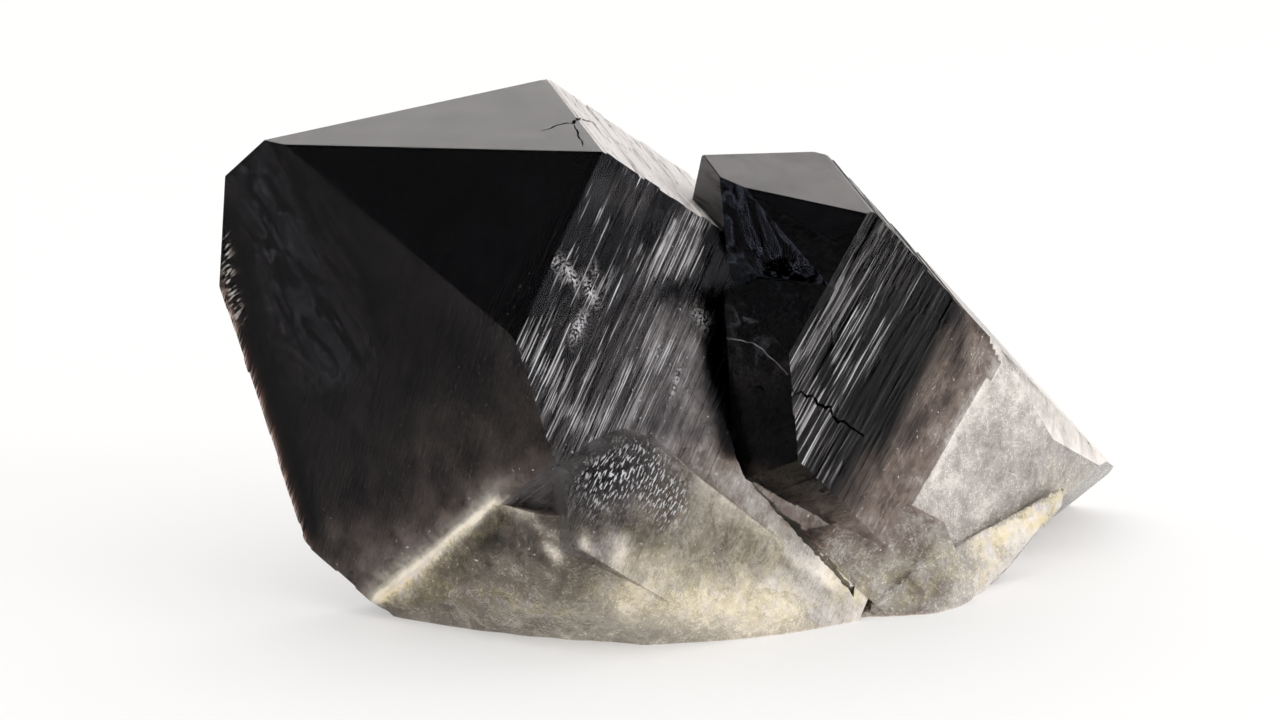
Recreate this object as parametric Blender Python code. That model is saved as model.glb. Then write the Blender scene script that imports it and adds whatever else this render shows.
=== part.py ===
"""A cluster of smoky quartz: two large dark crystals and a small one grown together on a broken, milky foot.

Quartz grows as a six-sided prism closed by six sloping tip faces. Every crystal here is worked out from that rule:
the direction of its long axis, and how far each face stands from the crystal's centre. Sizes are in millimetres.
"""

import math

import bmesh
import bpy
import numpy as np
from mathutils import Matrix, Vector, noise

MM = 0.001
TIP_FACE_ANGLE = math.radians(51.8)  # between a tip face's normal and the long axis, the same in all quartz

# The long axis points at (azimuth, rise) in degrees, and roll turns the crystal about it. The faces are numbered
# round the axis, 60 degrees apart. foot and top are the ends of the swept stretch along the axis.
LEFT = {
    "azimuth": -157.7, "rise": 34.5, "roll": 17.5, "centre": (-21.0, -11.0, 36.0),
    "sides": (27.8, 35.3, 38.5, 19.2, 42.4, 31.4), "tips": (33.7, 39.3, 41.6, 43.9, 43.6, 27.9),
    "foot": -54.0, "top": 58.0, "ledge_depth": 0.30, "seed": 3,
}
RIGHT = {
    "azimuth": -139.7, "rise": 41.8, "roll": 2.7, "centre": (13.0, -5.0, 27.0),
    "sides": (23.9, 35.3, 27.2, 18.0, 39.9, 21.2), "tips": (33.1, 41.3, 39.5, 22.2, 7.7, 14.9),
    "foot": -86.0, "top": 47.0, "ledge_depth": 0.34, "seed": 8,
}
# The lower half of the right crystal stands further out: two of its tip faces are a step higher.
RIGHT_LOWER = {
    **RIGHT, "sides": (24.0, 30.8, 18.5, 4.9, 32.7, 21.3), "tips": (33.2, 41.3, 39.5, 21.9, 16.0, 23.6), "foot": -80.0,
}
SMALL = {
    "azimuth": -149.2, "rise": 38.6, "roll": 10.7, "centre": (-6.0, -40.0, 23.0),
    "sides": (2.8, 7.7, 8.0, 14.0, 27.5, 20.0), "tips": (20.0, 20.0, 30.0, 26.2, 30.0, 24.0),
    "foot": -52.0, "top": 24.0, "ledge_depth": 0.22, "seed": 5,
}

# Planes that cut a crystal off: (azimuth, rise) of the outward normal and distance from the origin.
RIGHT_END = (
    (-44.9, -0.9, 37.3), (-23.4, 16.5, 56.1), (-35.4, -10.2, 40.4),
    (-27.5, -37.5, 32.9), (-33.9, -59.7, 16.3), (-22.6, -49.0, 29.2), (2.3, 36.7, 67.8),
)
RIGHT_TOP = ((115.3, 64.9, 57.1),)  # the back edge of its uppermost tip face
STEP_TOP = ((143.6, 64.2, 37.2), (73.2, 67.4, 40.8))  # the roof of the lower half
STEP_SIDE = ((-170.9, -3.9, -5.2), (-166.5, -19.9, -10.4))
SMALL_END = (
    (-166.8, -2.7, 26.5), (-140.6, 64.5, 44.5), (-113.7, 77.0, 40.9), (-13.7, 67.2, 30.8),
    (-130.8, -54.8, 12.8), (-80.5, -65.2, 10.2),
)
SWELL = (
    (-63.5, 9.0, 34.1), (-160.0, -45.0, -15.8), (84.2, 38.9, -0.7), (1.4, 23.0, 42.5),
    (133.6, 70.6, 3.1), (-20.2, -44.8, 33.0), (90.0, -12.0, 5.6), (0.0, -90.0, 8.0),
)
SWELL_SEAT = (30.0, -15.0, 10.0)

# Corners of the broken foot in front (its brow, belly, lower rim and hidden back), and of the one at the right.
FRONT_FOOT = (
    (-27.4, -39.0, 22.1), (-16.7, -45.1, 21.4), (-11.8, -45.7, 15.9), (-3.8, -44.1, 10.1), (2.9, -39.5, 7.6),
    (12.0, -33.0, 4.6), (28.0, -23.5, 1.9), (-17.8, -43.4, 8.5), (-7.5, -42.7, 5.0), (2.9, -39.4, 3.7), (-31.5, -34.1, 9.0),
    (-23.7, -40.8, 13.9), (-46.0, -23.9, 2.7), (-42.9, -21.5, -2.0), (-37.1, -25.0, -2.0), (-23.5, -31.1, -2.0),
    (-12.0, -33.9, -2.0), (-4.5, -35.3, -2.0), (3.3, -34.5, -2.0), (15.4, -31.1, -2.0), (26.0, -25.9, -2.0),
    (-39.3, -3.8, 3.9), (-12.4, 6.0, -2.0), (29.5, 6.0, -2.0), (-12.3, -5.4, 17.3),
)
RIGHT_FOOT = (
    (45.4, -7.9, 2.8), (51.1, -2.2, 5.4), (56.8, 3.4, 8.4), (62.4, 9.0, 12.7), (41.0, -20.8, -1.5),
    (47.8, -6.4, -1.5), (50.2, -3.1, 1.5), (53.3, 0.0, 4.3), (56.6, 3.2, 7.2), (62.2, 8.8, 9.3),
    (25.5, -23.4, -1.0), (34.7, -22.3, -1.5), (34.6, -21.7, 6.3), (46.1, 11.6, -2.0), (60.4, 24.9, 6.4),
    (36.3, 10.6, -5.0),
)
BASE_CENTRE = (2.1, -1.8, 0.0)  # the middle of the finished cluster's outline on the floor
FOOT_ROUGHNESS = 1.1
FOOT_GRAIN = 7.0

RISER = 0.06  # length along the axis over which a ledge rises
ROW_SPACING = 1.6
TIP_ROW_SPACING = 0.3  # finer rows over the last stretch, so that the tip comes to its own edge
TIP_STRETCH = 9.0
LEDGE_SPACING = (1.1, 3.6)
SMOKE = (0.018, 0.016, 0.018, 1.0)


def direction(azimuth, rise):
    a, r = math.radians(azimuth), math.radians(rise)
    return Vector((math.cos(r) * math.cos(a), math.cos(r) * math.sin(a), math.sin(r)))


def crystal_frame(spec):
    """The long axis, the normal of side 0 and the third direction, at right angles to each other."""
    axis = direction(spec["azimuth"], spec["rise"])
    level = Vector((0.0, 0.0, 1.0)).cross(axis).normalized()
    roll = math.radians(spec["roll"])
    first = math.cos(roll) * level + math.sin(roll) * axis.cross(level)
    return np.array(axis), np.array(first), np.array(axis.cross(first))


def ledges(spec, rows):
    """How far each side stands back in each row: growth leaves flat treads of uneven depth across the axis."""
    random = np.random.default_rng(spec["seed"])
    edges = [spec["foot"]]
    while edges[-1] < spec["top"]:
        edges.append(edges[-1] + random.uniform(*LEDGE_SPACING))
    edges = np.array(edges[1:-1])
    all_rows = np.unique(np.concatenate([rows, edges - RISER / 2, edges + RISER / 2]))
    tread = np.searchsorted(edges, all_rows)
    depth = -spec["ledge_depth"] * random.random((len(edges) + 1, 6)) ** 2
    return all_rows, depth[tread]


def cross_sections(spec):
    """Rows along the axis, and the distance of the six sides in each, tip faces and ledges included."""
    near_tip = spec["top"] - TIP_STRETCH
    rows = np.append(np.arange(spec["foot"], near_tip, ROW_SPACING), np.arange(near_tip, spec["top"], TIP_ROW_SPACING))
    rows, back = ledges(spec, rows)
    sides = np.array(spec["sides"]) + back
    tips = (np.array(spec["tips"]) - rows[:, None] * math.cos(TIP_FACE_ANGLE)) / math.sin(TIP_FACE_ANGLE)
    distances = np.minimum(sides, tips)
    for _ in range(8):  # a side that its neighbours cut off shrinks to a point
        meeting = np.roll(distances, 1, axis=1) + np.roll(distances, -1, axis=1)
        distances = np.minimum(distances, meeting)
    width = distances[:, :3] + distances[:, 3:]
    kept = width.min(axis=1) > 0.05
    return rows[kept], distances[kept]


def crystal(name, spec):
    """A six-cornered profile carried along the axis: each corner is where two neighbouring sides meet."""
    axis, first, second = crystal_frame(spec)
    rows, distances = cross_sections(spec)
    turn = np.radians(60.0 * np.arange(6))
    following = np.roll(distances, -1, axis=1)
    along = (following - distances * math.cos(math.radians(60.0))) / math.sin(math.radians(60.0))
    x = distances * np.cos(turn) - along * np.sin(turn)
    y = distances * np.sin(turn) + along * np.cos(turn)
    points = (
        np.array(spec["centre"])
        + x[..., None] * first
        + y[..., None] * second
        + rows[:, None, None] * axis
    ).reshape(-1, 3)
    count = len(rows)
    faces = [
        (6 * j + i, 6 * j + (i + 1) % 6, 6 * j + 6 + (i + 1) % 6, 6 * j + 6 + i)
        for j in range(count - 1)
        for i in range(6)
    ]
    faces.append(tuple(range(5, -1, -1)))
    faces.append(tuple(6 * (count - 1) + i for i in range(6)))
    mesh = bpy.data.meshes.new(name)
    mesh.from_pydata((points * MM).tolist(), [], faces)
    return new_object(name, mesh)


def new_object(name, mesh):
    shape = bpy.data.objects.new(name, mesh)
    bpy.context.scene.collection.objects.link(shape)
    return shape


def tidy(shape):
    """Merges the corners that fell together, and turns all faces outward."""
    build = bmesh.new()
    build.from_mesh(shape.data)
    bmesh.ops.remove_doubles(build, verts=build.verts, dist=0.002 * MM)
    bmesh.ops.dissolve_degenerate(build, edges=build.edges, dist=0.001 * MM)
    bmesh.ops.recalc_face_normals(build, faces=build.faces)
    build.to_mesh(shape.data)
    build.free()
    return shape


def trim(shape, planes, inward=0.0):
    """Breaks the shape off at each plane, given as azimuth and rise of its outward normal and its distance."""
    build = bmesh.new()
    build.from_mesh(shape.data)
    for azimuth, rise, distance in planes:
        normal = direction(azimuth, rise)
        cut = bmesh.ops.bisect_plane(
            build, geom=build.verts[:] + build.edges[:] + build.faces[:], dist=0.0005 * MM,
            plane_co=normal * (distance - inward) * MM, plane_no=normal, clear_outer=True,
        )
        rim = [item for item in cut["geom_cut"] if isinstance(item, bmesh.types.BMEdge)]
        bmesh.ops.edgenet_fill(build, edges=rim)
    bmesh.ops.recalc_face_normals(build, faces=build.faces)
    build.to_mesh(shape.data)
    build.free()
    return shape


def swell():
    """The low swelling at the foot of the right crystal, a block cut to its broken faces."""
    build = bmesh.new()
    bmesh.ops.create_cube(build, size=160 * MM, matrix=Matrix.Translation(Vector(SWELL_SEAT) * MM))
    mesh = bpy.data.meshes.new("swell")
    build.to_mesh(mesh)
    build.free()
    return trim(new_object("swell", mesh), SWELL)


def broken_foot(name, corners):
    """The corners' convex hull, cut fine and shaken by noise, so that it breaks into lumps and hollows."""
    build = bmesh.new()
    for corner in corners:
        build.verts.new(Vector(corner) * MM)
    hull = bmesh.ops.convex_hull(build, input=build.verts)
    loose = {item for item in hull["geom_interior"] + hull["geom_unused"] if isinstance(item, bmesh.types.BMVert)}
    bmesh.ops.delete(build, geom=list(loose), context="VERTS")
    for _ in range(2):
        long_edges = [edge for edge in build.edges if edge.calc_length() > 5.0 * MM]
        bmesh.ops.subdivide_edges(build, edges=long_edges, cuts=1, use_grid_fill=True)
        bmesh.ops.triangulate(build, faces=build.faces)
    for vert in build.verts:
        place = vert.co / (FOOT_GRAIN * MM)
        shake = noise.noise_vector(place) + 0.5 * noise.noise_vector(place * 2.3)
        vert.co += shake * FOOT_ROUGHNESS * MM
    bmesh.ops.recalc_face_normals(build, faces=build.faces)
    mesh = bpy.data.meshes.new(name)
    build.to_mesh(mesh)
    build.free()
    return new_object(name, mesh)


def floor_block():
    """Everything under the resting plane is cut away, which leaves the flat that the cluster rests on."""
    build = bmesh.new()
    bmesh.ops.create_cube(build, size=1.0, matrix=Matrix.Diagonal((0.4, 0.4, 0.2, 1.0)))
    bmesh.ops.translate(build, verts=build.verts, vec=(0.0, 0.0, -0.1))
    mesh = bpy.data.meshes.new("floor_block")
    build.to_mesh(mesh)
    build.free()
    return new_object("floor_block", mesh)


def smoky_material():
    material = bpy.data.materials.new("smoky quartz")
    material.use_nodes = True
    shader = material.node_tree.nodes["Principled BSDF"]
    shader.inputs["Base Color"].default_value = SMOKE
    shader.inputs["Roughness"].default_value = 0.12
    shader.inputs["Metallic"].default_value = 0.0
    shader.inputs["IOR"].default_value = 1.55
    return material


def join(body, other, operation):
    modifier = body.modifiers.new(other.name, "BOOLEAN")
    modifier.operation = operation
    modifier.solver = "EXACT"
    modifier.object = other
    other.hide_render = True
    other.display_type = "WIRE"


def main():
    for old in list(bpy.data.objects):
        bpy.data.objects.remove(old, do_unlink=True)
    cluster = tidy(crystal("smoky_quartz", LEFT))
    right = trim(tidy(crystal("right_crystal", RIGHT)), RIGHT_END + RIGHT_TOP)
    lower = trim(tidy(crystal("right_lower_half", RIGHT_LOWER)), RIGHT_END, inward=0.4)
    trim(lower, STEP_TOP + STEP_SIDE)
    small = trim(tidy(crystal("small_crystal", SMALL)), SMALL_END)
    front_foot = broken_foot("front_foot", FRONT_FOOT)
    right_foot = broken_foot("right_foot", RIGHT_FOOT)
    for grown in (right, lower, small, swell(), front_foot, right_foot):
        join(cluster, grown, "UNION")
    join(cluster, floor_block(), "DIFFERENCE")
    cluster.data.materials.append(smoky_material())
    origin = bpy.data.objects.new("origin", None)
    bpy.context.scene.collection.objects.link(origin)
    origin.location = -Vector(BASE_CENTRE) * MM
    for shape in bpy.data.objects:
        if shape != origin:
            shape.parent = origin


main()
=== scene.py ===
import math
import time
from functools import partial

import bmesh
import bpy
import numpy as np
from mathutils import Matrix, Vector
from mathutils.bvhtree import BVHTree


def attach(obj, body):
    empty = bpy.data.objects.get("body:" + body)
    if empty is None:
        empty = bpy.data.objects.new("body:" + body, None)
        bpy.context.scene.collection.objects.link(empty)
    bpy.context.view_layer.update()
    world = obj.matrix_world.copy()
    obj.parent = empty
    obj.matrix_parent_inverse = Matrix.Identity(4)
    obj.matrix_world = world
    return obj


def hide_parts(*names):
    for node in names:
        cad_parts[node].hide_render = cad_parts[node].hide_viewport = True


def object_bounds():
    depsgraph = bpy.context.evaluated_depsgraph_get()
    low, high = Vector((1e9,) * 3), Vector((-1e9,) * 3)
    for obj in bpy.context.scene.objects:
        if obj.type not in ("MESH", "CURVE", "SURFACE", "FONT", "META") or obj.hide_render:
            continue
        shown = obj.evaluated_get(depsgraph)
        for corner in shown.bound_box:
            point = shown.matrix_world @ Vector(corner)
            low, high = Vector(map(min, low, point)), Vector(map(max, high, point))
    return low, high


# A cluster of smoky quartz on a pale floor. Lengths are in millimetres until a mesh is made, and then in metres.
started = time.time()
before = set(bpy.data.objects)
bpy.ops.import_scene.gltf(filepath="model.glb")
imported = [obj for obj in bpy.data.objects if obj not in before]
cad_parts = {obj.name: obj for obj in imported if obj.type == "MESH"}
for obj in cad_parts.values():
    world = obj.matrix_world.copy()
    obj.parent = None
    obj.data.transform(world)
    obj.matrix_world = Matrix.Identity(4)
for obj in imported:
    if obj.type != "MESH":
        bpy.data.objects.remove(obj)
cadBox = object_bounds()
mm = 0.001
baseCentre = np.array([2.1, -1.8, 0.0])  # the crystals are placed from this point, and the part's origin is here
tipAngle = math.radians(51.8)  # between a tip face's normal and the long axis, the same in all quartz


def report(stage):
    print(f"{stage}: {time.time() - started:.1f} s")


def placed(name, data):
    # an object that shows the data, in the scene
    made = bpy.data.objects.new(name, data)
    bpy.context.scene.collection.objects.link(made)
    return made


# The camera comes first, because some markings are placed where it sees them in a 1280 x 720 picture.
view = {"at": (-8.1, -546.2, 151.9), "tilt": 78.0, "lens": 100.0, "sensor": 36.0, "wide": 1280, "high": 720}
cameraData = bpy.data.cameras.new("camera")
cameraData.lens = view["lens"]
cameraData.sensor_width = view["sensor"]
cameraData.clip_start = 0.01
camera = placed("camera", cameraData)
camera.location = Vector(view["at"]) * mm
camera.rotation_euler = (math.radians(view["tilt"]), 0.0, 0.0)
bpy.context.scene.camera = camera


def sightLine(px, py):
    # the direction in which the camera sees picture point (px, py)
    reach = view["lens"] / view["sensor"] * view["wide"]
    right, up = (px - view["wide"] / 2) / reach, (view["high"] / 2 - py) / reach
    tilt = math.radians(view["tilt"])
    return Vector((right, up * math.cos(tilt) + math.sin(tilt), up * math.sin(tilt) - math.cos(tilt))).normalized()


def softNoise(points, seed=0):
    # smooth noise from -1 to 1: random values at whole-numbered corners, blended by 3t^2 - 2t^3 along each direction.
    # The large numbers only scramble a corner's place and the seed into its value
    cell = np.floor(points).astype(np.int64)
    part = points - cell
    part = part * part * (3.0 - 2.0 * part)
    total = np.zeros(points.shape[:-1])
    for corner in range(8):
        offset = np.array([corner & 1, corner >> 1 & 1, corner >> 2])
        at = cell + offset
        mixed = at[..., 0] * 73856093 ^ at[..., 1] * 19349663 ^ at[..., 2] * 83492791 ^ seed * 2654435
        mixed = (mixed ^ mixed >> 13) * 1274126177 & 0x7FFFFFFF
        mixed = (mixed ^ mixed >> 15) * 2246822519 & 0x7FFFFFFF
        weight = np.prod(np.where(offset == 1, part, 1.0 - part), axis=-1)
        total += weight * (mixed / 0x3FFFFFFF - 1.0)
    return total


def roughNoise(points, octaves, seed=0):
    # octaves of soft noise, each twice as fine and half as strong as the one before
    return sum(softNoise(points * 2.0 ** k + 17.3 * k, seed + k) * 0.5 ** k for k in range(octaves))


def smoothStep(low, high, value):
    # 3t^2 - 2t^3, with t from 0 at low to 1 at high
    t = np.clip((value - low) / (high - low), 0.0, 1.0)
    return t * t * (3.0 - 2.0 * t)


def direction(azimuth, rise):
    # the unit vector at these angles, in degrees
    a, r = math.radians(azimuth), math.radians(rise)
    return np.array([math.cos(r) * math.cos(a), math.cos(r) * math.sin(a), math.sin(r)])


# The crystals. The long axis points at (azimuth, rise) in degrees, and roll turns the crystal about it. The six sides
# and the six tip faces above them are 60 degrees apart, each given by its distance from the centre.
leftCrystal = {
    "azimuth": -157.7, "rise": 34.5, "roll": 17.5, "centre": (-21.0, -11.0, 36.0),
    "sides": (27.8, 35.3, 38.5, 19.2, 42.4, 31.4), "tips": (33.7, 39.3, 41.6, 43.9, 43.6, 27.9),
    "foot": -54.0, "top": 58.0, "ledgeDepth": 0.30, "seed": 3,
    "flakeDepth": 0.15, "columns": 26,  # thin torn flakes between the ledges, and grid columns on each side
    "smoothBelow": -22.0, "lineStretch": 1.0,  # the level below which the ledges fade, and how drawn out the lines are
}
rightCrystal = {
    "azimuth": -139.7, "rise": 41.8, "roll": 2.7, "centre": (13.0, -5.0, 27.0),
    "sides": (23.9, 35.3, 27.2, 18.0, 39.9, 21.2), "tips": (33.1, 41.3, 39.5, 22.2, 7.7, 14.9),
    "foot": -86.0, "top": 47.0, "ledgeDepth": 0.34, "seed": 8, "flakeDepth": 0.15, "columns": 19,
    "smoothBelow": 0.0, "lineStretch": 0.5,
}
rightLowerHalf = dict(
    rightCrystal, sides=(24.0, 30.8, 18.5, 4.9, 32.7, 21.3), tips=(33.2, 41.3, 39.5, 21.9, 16.0, 23.6), foot=-80.0,
)
smallCrystal = {
    "azimuth": -149.2, "rise": 38.6, "roll": 10.7, "centre": (-6.0, -40.0, 23.0),
    "sides": (2.8, 7.7, 8.0, 14.0, 27.5, 20.0), "tips": (20.0, 20.0, 30.0, 26.2, 30.0, 24.0),
    "foot": -52.0, "top": 24.0, "ledgeDepth": 0.22, "seed": 5, "flakeDepth": 0.10, "columns": 9,
    "smoothBelow": 1.0, "lineStretch": 2.0,
}
ledges = {
    "spacing": (1.1, 3.6), "riser": 0.06, "fade": 8.0, "flakeSpacing": (0.35, 1.3), "flakeLength": 7.0,
    "flakeShare": 2.2, "flakeEdge": 2.5,  # how much of a side is torn, and the width of its whole border
    "tipHeight": 9.0, "tipStep": 0.3,  # the rows near the tip are even and close
}

# Planes that a shape is broken off at: (azimuth, rise) of the outward normal, and distance.
paleBreak = (-44.9, -0.9, 37.3)  # the milky face at the far right
rightEnd = (
    (-23.4, 16.5, 56.1), (-35.4, -10.2, 40.4), (-27.5, -37.5, 32.9), (-33.9, -59.7, 16.3), (-22.6, -49.0, 29.2),
    (2.3, 36.7, 67.8),
)
rightTop = ((115.3, 64.9, 57.1),)
stepRoof = ((143.6, 64.2, 37.2), (73.2, 67.4, 40.8))
stepSide = ((-170.9, -3.9, -5.2), (-166.5, -19.9, -10.4))
smallEnd = (
    (-166.8, -2.7, 26.5), (-140.6, 64.5, 44.5), (-113.7, 77.0, 40.9), (-13.7, 67.2, 30.8),
    (-130.8, -54.8, 12.8), (-80.5, -65.2, 10.2),
)
swellSides = (
    (-63.5, 9.0, 34.1), (-160.0, -45.0, -15.8), (84.2, 38.9, -0.7), (1.4, 23.0, 42.5),
    (133.6, 70.6, 3.1), (-20.2, -44.8, 33.0), (90.0, -12.0, 5.6), (0.0, -90.0, 8.0),
)


def crystalFrame(spec):
    # the long axis, the normal of side 0, and the third direction at right angles to both
    axis = direction(spec["azimuth"], spec["rise"])
    level = np.cross((0.0, 0.0, 1.0), axis)
    level /= np.linalg.norm(level)
    roll = math.radians(spec["roll"])
    first = math.cos(roll) * level + math.sin(roll) * np.cross(axis, level)
    return axis, first, np.cross(axis, first)


def ledgeRows(spec):
    # ledges across the axis at uneven levels; each rises over a short riser, and each side stands back by its own depth
    random = np.random.default_rng(spec["seed"])
    edges = [spec["foot"]]
    while edges[-1] < spec["top"]:
        edges.append(edges[-1] + random.uniform(*ledges["spacing"]))
    edges = np.array(edges[1:-1])
    depth = -spec["ledgeDepth"] * random.random((len(edges) + 1, 6)) ** 2
    low = spec["smoothBelow"]
    depth *= smoothStep(low - ledges["fade"], low, np.append(edges, edges[-1]))[:, None]
    flakes = [spec["foot"]]
    while flakes[-1] < spec["top"]:
        flakes.append(flakes[-1] + random.uniform(*ledges["flakeSpacing"]))
    flakes = np.array(flakes[1:-1])
    half = ledges["riser"] / 2
    tip = np.arange(spec["top"] - ledges["tipHeight"], spec["top"], ledges["tipStep"])
    rows = np.unique(np.concatenate([edges - half, edges + half, flakes - half, flakes + half, tip]))
    return rows, depth[np.searchsorted(edges, rows)], np.searchsorted(flakes, rows)


def crystalMesh(name, spec):
    # a six-sided profile carried along the axis. A corner is where two sides meet: with side distances a and b, it is
    # at a along its own normal and (b - a cos 60) / sin 60 across it. Between corners the columns sink by the flakes:
    # flake depth times a patch noise in (across, flake number), fading to nothing at the corners
    axis, first, second = crystalFrame(spec)
    rows, back, flake = ledgeRows(spec)
    tips = (np.array(spec["tips"]) - rows[:, None] * math.cos(tipAngle)) / math.sin(tipAngle)
    sides = np.array(spec["sides"]) + back
    reach = np.minimum(sides, tips)
    for _ in range(8):  # a side that its neighbours cut off shrinks to a point
        reach = np.minimum(reach, np.roll(reach, 1, axis=1) + np.roll(reach, -1, axis=1))
    kept = (reach[:, :3] + reach[:, 3:]).min(axis=1) > 0.05
    rows, reach, flake = rows[kept], reach[kept], flake[kept]
    onSide = (sides[kept] <= tips[kept]) * smoothStep(0.0, 2.0, tips[kept] - sides[kept])
    turn = np.radians(60.0 * np.arange(6))
    along = (np.roll(reach, -1, axis=1) - reach * 0.5) / math.sin(math.radians(60.0))
    before = -(np.roll(reach, 1, axis=1) - reach * 0.5) / math.sin(math.radians(60.0))
    share = np.arange(spec["columns"]) / spec["columns"]
    width = np.maximum(along - before, 0.0)[..., None]
    across = before[..., None] + width * share
    patch = softNoise(np.stack([  # 1.37 and 9.1 only keep the flakes and the sides apart in the noise
        across / ledges["flakeLength"], flake[:, None, None] * 1.37 + 0 * across,
        np.arange(6)[None, :, None] * 9.1 + 0 * across], axis=-1), spec["seed"])
    sink = -spec["flakeDepth"] * np.clip(patch * ledges["flakeShare"], 0.0, 1.0) * onSide[..., None]
    sink *= np.clip(np.minimum(share, 1.0 - share) * width / ledges["flakeEdge"], 0.0, 1.0)
    sink *= smoothStep(spec["smoothBelow"] - ledges["fade"], spec["smoothBelow"], rows)[:, None, None]
    out = reach[..., None] + sink
    x = out * np.cos(turn)[:, None] - across * np.sin(turn)[:, None]
    y = out * np.sin(turn)[:, None] + across * np.cos(turn)[:, None]
    points = np.array(spec["centre"]) + x[..., None] * first + y[..., None] * second + rows[:, None, None, None] * axis
    return tubeMesh(name, points.reshape(len(rows), -1, 3))


def tubeMesh(name, rings):
    # rings of points joined into a closed tube, with a flat face over each end
    rowCount, ringCount = rings.shape[:2]
    j, i = np.meshgrid(np.arange(rowCount - 1), np.arange(ringCount), indexing="ij")
    after = (i + 1) % ringCount
    here, above = j * ringCount, (j + 1) * ringCount
    quads = np.stack([here + i, here + after, above + after, above + i], axis=-1)
    faces = quads.reshape(-1, 4).tolist()
    faces.append(list(range(ringCount - 1, -1, -1)))
    faces.append(list(range((rowCount - 1) * ringCount, rowCount * ringCount)))
    return tidyMesh(name, ((rings.reshape(-1, 3) - baseCentre) * mm).tolist(), faces)


def tidyMesh(name, points, faces):
    # merges corners that fell together and turns every face outward
    mesh = bpy.data.meshes.new(name)
    mesh.from_pydata(points, [], faces)
    build = bmesh.new()
    build.from_mesh(mesh)
    bmesh.ops.remove_doubles(build, verts=build.verts, dist=0.0002 * mm)
    bmesh.ops.dissolve_degenerate(build, edges=build.edges, dist=0.0001 * mm)
    bmesh.ops.recalc_face_normals(build, faces=build.faces)
    build.to_mesh(mesh)
    build.free()
    return placed(name, mesh)


def cubePiece(name, size, matrix):
    # a cube of this size, moved by the matrix
    mesh = bpy.data.meshes.new(name)
    build = bmesh.new()
    bmesh.ops.create_cube(build, size=size, matrix=matrix)
    build.to_mesh(mesh)
    build.free()
    return placed(name, mesh)


def cutAlong(build, point, normal, clearOuter):
    # slices the mesh by a plane, given in metres, and can clear what stands outside it
    return bmesh.ops.bisect_plane(
        build, geom=build.verts[:] + build.edges[:] + build.faces[:], dist=0.0005 * mm,
        plane_co=Vector(point), plane_no=Vector(normal), clear_outer=clearOuter)


def breakOff(piece, planes, inward=0.0):
    # cuts the piece off at each plane and closes it with a flat face
    build = bmesh.new()
    build.from_mesh(piece.data)
    for azimuth, rise, distance in planes:
        normal = direction(azimuth, rise)
        cut = cutAlong(build, Vector(normal * (distance - inward) - baseCentre) * mm, normal, True)
        rim = [item for item in cut["geom_cut"] if isinstance(item, bmesh.types.BMEdge)]
        bmesh.ops.edgenet_fill(build, edges=rim)
    bmesh.ops.recalc_face_normals(build, faces=build.faces)
    build.to_mesh(piece.data)
    build.free()
    return piece


def onPlane(px, py, plane):
    # where the line of sight through a picture point meets a plane
    eye, ray = np.array(view["at"]) + baseCentre, np.array(sightLine(px, py))
    normal = direction(*plane[:2])
    return eye + ray * (plane[2] - eye @ normal) / (ray @ normal)


paleFace = {
    "reach": 52.0, "step": 0.8, "middle": (8.0, 18.0), "thick": 60.0, "depth": 0.7, "grain": 11.0, "seed": 31,
    "fade": 0.8, "drop": 0.30, "slope": 0.05,  # beyond a crease the face drops at once, and then slopes away
    "creases": (((1003, 362), (1068, 440)), ((1068, 440), (1064, 470))),
}


def roughCutter(name, plane, spec, beside, besideDistance):
    # a block whose inner face is a broken surface: a grid on the plane, sunk by noise along its normal. It fades out
    # where the plane comes near the flat face beside it, and steps back behind each crease
    normal = direction(*plane[:2])
    along = np.cross((0.0, 0.0, 1.0), normal)
    along /= np.linalg.norm(along)
    up = np.cross(normal, along)
    line = np.arange(-spec["reach"], spec["reach"] + 0.01, spec["step"])
    u, v = np.meshgrid(line, line, indexing="ij")
    flat = normal * plane[2] + np.array(spec["middle"]) @ np.stack([along, up])
    points = flat + u[..., None] * along + v[..., None] * up
    height = spec["depth"] * (np.clip(roughNoise(points / spec["grain"], 4, spec["seed"]), -1.0, 1.0) - 1.0) * 0.5
    height *= np.clip((besideDistance - points @ beside) / spec["fade"], 0.0, 1.0)
    beyond = np.full(height.shape, -1.0)
    for first, second in spec["creases"]:
        start, finish = onPlane(*first, plane), onPlane(*second, plane)
        away = np.cross(normal, finish - start)
        beyond = np.maximum(beyond, (points - start) @ away / np.linalg.norm(away))
    height -= spec["drop"] * smoothStep(0.0, 0.5, beyond) + spec["slope"] * np.maximum(beyond, 0.0)
    points += height[..., None] * normal
    count = len(line)
    far = flat + normal * spec["thick"]
    outer = [far + a * spec["reach"] * along + b * spec["reach"] * up for a, b in ((-1, -1), (1, -1), (1, 1), (-1, 1))]
    i, j = np.meshgrid(np.arange(count - 1), np.arange(count - 1), indexing="ij")
    quads = np.stack([i * count + j, i * count + j + 1, (i + 1) * count + j + 1, (i + 1) * count + j], -1)
    faces = quads.reshape(-1, 4).tolist()
    last, size = count - 1, count * count
    edge = np.arange(count)
    for number, side in enumerate((edge * count, last * count + edge, edge[::-1] * count + last, edge[::-1])):
        faces.append([*side.tolist(), size + (number + 1) % 4, size + number])
    faces.append([size, size + 1, size + 2, size + 3])
    points = np.concatenate([points.reshape(-1, 3), outer])
    return tidyMesh(name, ((points - baseCentre) * mm).tolist(), faces)


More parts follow.
